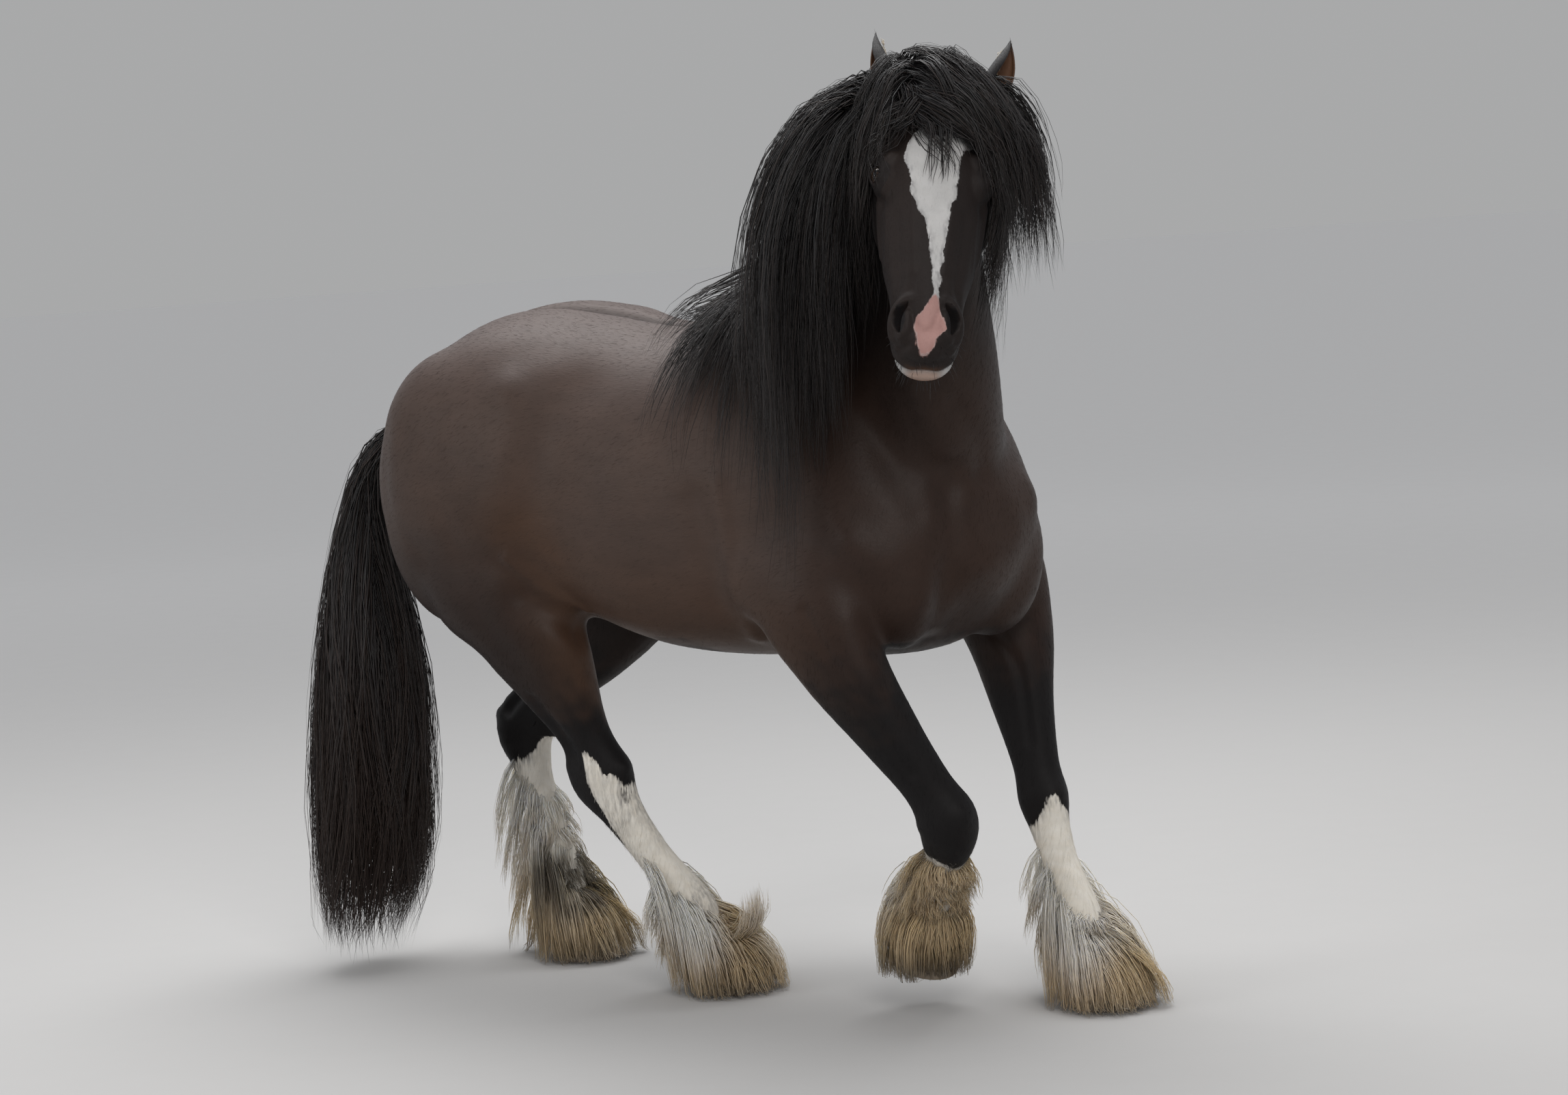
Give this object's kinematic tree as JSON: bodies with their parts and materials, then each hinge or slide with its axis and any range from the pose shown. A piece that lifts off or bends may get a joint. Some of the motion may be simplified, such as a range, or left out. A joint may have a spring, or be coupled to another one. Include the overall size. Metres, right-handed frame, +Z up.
{
  "type": "gypsy vanner horse",
  "caption": "Life-size still model of a dark bay gypsy vanner horse in a lively trot, with a long mane and tail and feathered legs, standing on three hooves.",
  "frame": {"origin": "centre of the bounding box on the floor plane that the three planted hooves stand on", "axes": "+X forward along the body, +Y to the horse's left, +Z up"},
  "size_m": [2.2232, 0.994, 1.994],
  "materials": {
    "bay_coat": "short sleek hair with a soft sheen",
    "black_coat": "short sleek black hair",
    "black_hair": "long wavy hair",
    "white_feather": "long silky hair, stained tan at the hooves",
    "hoof_horn": "pale horn",
    "eye": "wet and glossy"
  },
  "bodies": {
    "root": {"torso": "bay_coat", "neck": "bay_coat", "head": "black_coat", "ear_left": "black_coat", "ear_right": "black_coat", "eye_left": "eye", "eye_right": "eye", "tail": "black_hair", "fore_left_upper": "black_coat", "fore_left_lower": "white_feather", "fore_left_hoof": "hoof_horn", "fore_right_upper": "black_coat", "fore_right_lower": "white_feather", "fore_right_hoof": "hoof_horn", "hind_left_upper": "black_coat", "hind_left_lower": "white_feather", "hind_left_hoof": "hoof_horn", "hind_right_upper": "black_coat", "hind_right_lower": "white_feather", "hind_right_hoof": "hoof_horn"}
  },
  "joints": []
}
